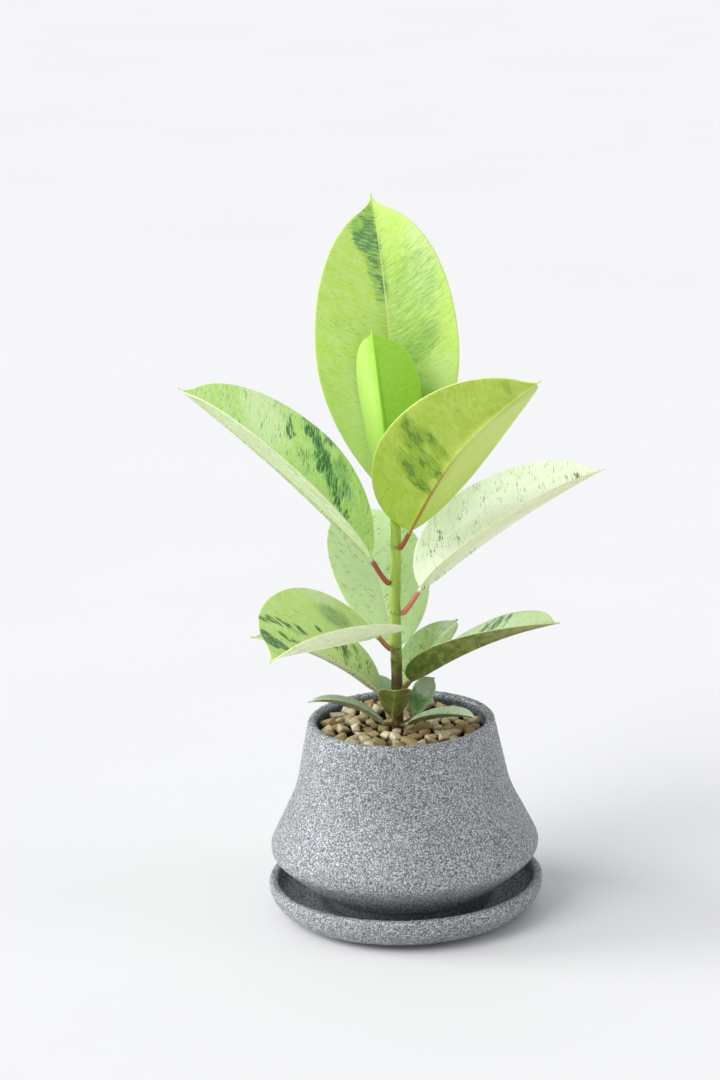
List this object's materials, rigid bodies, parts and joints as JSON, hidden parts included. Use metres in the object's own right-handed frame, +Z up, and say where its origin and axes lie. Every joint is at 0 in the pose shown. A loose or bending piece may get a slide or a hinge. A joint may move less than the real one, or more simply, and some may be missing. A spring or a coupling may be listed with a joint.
{
  "type": "potted ficus jin",
  "caption": "Young variegated rubber plant with broad leathery leaves, standing in a flared stucco-textured pot with gravel and a saucer.",
  "frame": {"origin": "middle of the saucer's flat underside, on the surface that it stands on", "axes": "+Z up the stem, -Y toward the side that the picture shows, +X to its right"},
  "size_m": [0.2325, 0.1797, 0.3999],
  "materials": {
    "grey_stucco": "rough grey stucco texture with a fine silvery speckle",
    "soil": "dark crumbly potting mix",
    "gravel_tan": "dry tan gravel",
    "stem_green": "smooth green bark that turns brown at the foot",
    "leaf_pale": "satin leaf, pale green with darker specks and streaks",
    "leaf_green": "satin leaf, green with a pale edge"
  },
  "bodies": {
    "root": {"saucer": "grey_stucco", "pot": "grey_stucco", "potting_mix": "soil", "gravel": "gravel_tan", "stem": "stem_green", "leaf_top_back": "leaf_pale", "leaf_young": "leaf_pale", "leaf_upper_right": "leaf_pale", "leaf_left": "leaf_pale", "leaf_right": "leaf_pale", "leaf_back": "leaf_pale", "leaf_lower_left": "leaf_pale", "leaf_lower_left_under": "leaf_pale", "leaf_lower_right": "leaf_pale", "leaf_lower_right_back": "leaf_pale", "leaf_small_back": "leaf_green", "leaf_small_front": "leaf_green", "leaf_small_upright": "leaf_green", "leaf_small_right": "leaf_green", "leaf_small_left": "leaf_green"}
  },
  "joints": []
}
